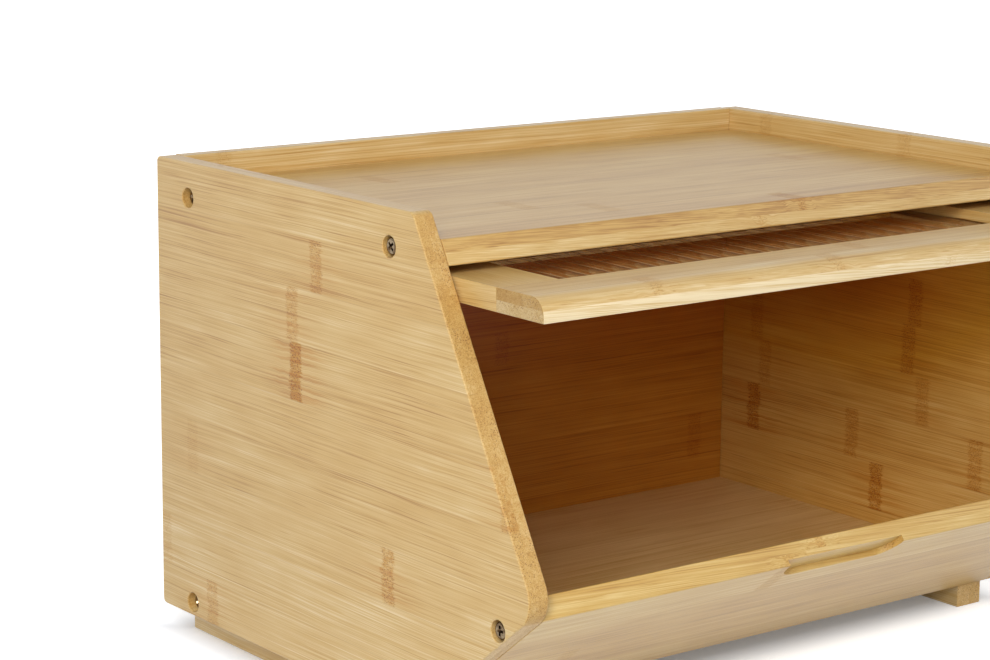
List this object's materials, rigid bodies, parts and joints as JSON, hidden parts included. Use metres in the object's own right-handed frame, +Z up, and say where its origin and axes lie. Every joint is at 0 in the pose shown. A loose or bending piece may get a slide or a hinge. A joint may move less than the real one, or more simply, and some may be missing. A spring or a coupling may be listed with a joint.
{
  "type": "bread box with flip-up door",
  "caption": "Bamboo bread box with a tray top, slanted front, undercut nose, runners, and a level-sliding flip-up door with a clear ribbed window.",
  "frame": {"origin": "on the floor under the middle of the box, the centre of its overall width and depth", "axes": "+X to the right of someone facing the door, -Y towards that person, +Z up"},
  "size_m": [0.36, 0.2844, 0.2277],
  "materials": {
    "bamboo": "satin lacquered laminated bamboo",
    "dowel_wood": "plain beech",
    "zinc_plated_steel": "zinc plated",
    "pin_steel": "plain turned",
    "nylon": "moulded",
    "clear_acrylic": "clear, ribbed on the outer face"
  },
  "bodies": {
    "carcass": {"left_side_panel": "bamboo", "right_side_panel": "bamboo", "back_panel": "bamboo", "top_shelf": "bamboo", "bottom_board": "bamboo", "front_apron": "bamboo", "left_runner": "bamboo", "right_runner": "bamboo", "left_side_screws": "zinc_plated_steel", "right_side_screws": "zinc_plated_steel", "back_screws": "zinc_plated_steel", "runner_screws": "zinc_plated_steel", "left_side_dowels": "dowel_wood", "right_side_dowels": "dowel_wood"},
    "glides": {"left_glide": "nylon", "right_glide": "nylon"},
    "door": {"door_bottom_rail": "bamboo", "door_top_rail": "bamboo", "door_left_stile": "bamboo", "door_right_stile": "bamboo", "door_pane": "clear_acrylic", "door_dowels": "dowel_wood", "left_pivot_pin": "pin_steel", "right_pivot_pin": "pin_steel"}
  },
  "joints": [
    {"name": "door_slide", "type": "slide", "parent": "carcass", "child": "glides", "axis": [0, -1, 0], "range_m": [-0.04, 0.0707]},
    {"name": "door_swing", "type": "hinge", "parent": "glides", "child": "door", "pos_m": [0, -0.00282, 0.19703], "axis": [1, 0, 0], "range_deg": [0, 60.8]}
  ]
}
